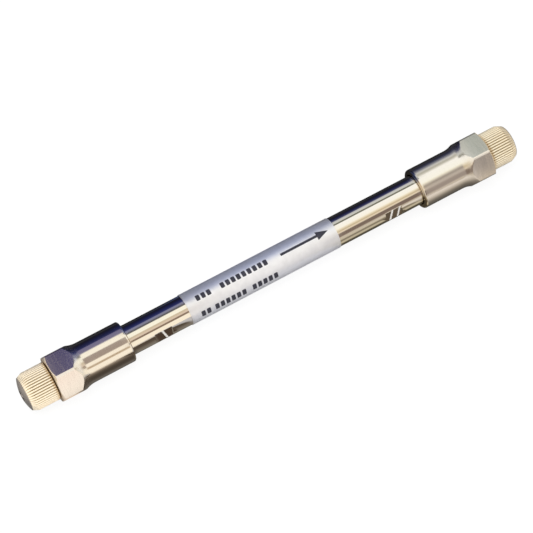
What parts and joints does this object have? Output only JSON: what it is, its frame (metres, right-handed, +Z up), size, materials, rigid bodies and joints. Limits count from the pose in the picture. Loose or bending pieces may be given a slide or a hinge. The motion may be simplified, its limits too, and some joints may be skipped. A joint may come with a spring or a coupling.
{
  "type": "liquid chromatography column",
  "caption": "Steel analytical chromatography column: packed tube with wrapped label, hexagon end fittings on both ends and knurled plugs in the ports.",
  "frame": {"origin": "on the axis of the column, at the middle of the tube", "axes": "+X along the axis from the inlet to the outlet, in the direction of flow; +Z up, with the hexagons resting on their flats; -Y towards the viewer"},
  "size_m": [0.1892, 0.018, 0.0158],
  "materials": {
    "polished_steel": "mirror polished stainless tube",
    "silica": "packed fine white powder",
    "label_film": "satin silver-white film",
    "sintered_steel": "porous sintered steel",
    "ring_polymer": "natural polymer seal",
    "fitting_steel": "turned sleeve with milled satin flats",
    "rod_steel": "drawn wire",
    "knurled_steel": "straight knurled, pale warm plating"
  },
  "bodies": {
    "column": {"column_tube": "polished_steel", "packed_bed": "silica", "label": "label_film"},
    "inlet_frit_set": {"inlet_frit": "sintered_steel", "inlet_frit_ring": "ring_polymer"},
    "inlet_fitting": {"inlet_end_fitting": "fitting_steel"},
    "inlet_rod": {"inlet_plug_rod": "rod_steel"},
    "inlet_plug_head": {"inlet_plug": "knurled_steel"},
    "outlet_frit_set": {"outlet_frit": "sintered_steel", "outlet_frit_ring": "ring_polymer"},
    "outlet_fitting": {"outlet_end_fitting": "fitting_steel"},
    "outlet_rod": {"outlet_plug_rod": "rod_steel"},
    "outlet_plug_head": {"outlet_plug": "knurled_steel"}
  },
  "joints": [
    {"name": "inlet_fitting_travel", "type": "slide", "parent": "column", "child": "inlet_frit_set", "axis": [-1, 0, 0], "range_m": [0, 0.011]},
    {"name": "inlet_fitting_turn", "type": "hinge", "parent": "inlet_frit_set", "child": "inlet_fitting", "pos_m": [-0.07, 0, 0], "axis": [-1, 0, 0], "range_deg": [0, 3960]},
    {"name": "inlet_plug_travel", "type": "slide", "parent": "inlet_fitting", "child": "inlet_rod", "axis": [-1, 0, 0], "range_m": [0, 0.00357]},
    {"name": "inlet_plug_turn", "type": "hinge", "parent": "inlet_rod", "child": "inlet_plug_head", "pos_m": [-0.089, 0, 0], "axis": [-1, 0, 0], "range_deg": [0, 1620]},
    {"name": "outlet_fitting_travel", "type": "slide", "parent": "column", "child": "outlet_frit_set", "axis": [1, 0, 0], "range_m": [0, 0.011]},
    {"name": "outlet_fitting_turn", "type": "hinge", "parent": "outlet_frit_set", "child": "outlet_fitting", "pos_m": [0.07, 0, 0], "axis": [1, 0, 0], "range_deg": [0, 3960]},
    {"name": "outlet_plug_travel", "type": "slide", "parent": "outlet_fitting", "child": "outlet_rod", "axis": [1, 0, 0], "range_m": [0, 0.00357]},
    {"name": "outlet_plug_turn", "type": "hinge", "parent": "outlet_rod", "child": "outlet_plug_head", "pos_m": [0.089, 0, 0], "axis": [1, 0, 0], "range_deg": [0, 1620]}
  ],
  "couplings": [
    {"joint": "inlet_fitting_turn", "follows": "inlet_fitting_travel", "rad_per_m": 6283.2},
    {"joint": "inlet_plug_turn", "follows": "inlet_plug_travel", "rad_per_m": 7915.8},
    {"joint": "outlet_fitting_turn", "follows": "outlet_fitting_travel", "rad_per_m": 6283.2},
    {"joint": "outlet_plug_turn", "follows": "outlet_plug_travel", "rad_per_m": 7915.8}
  ]
}
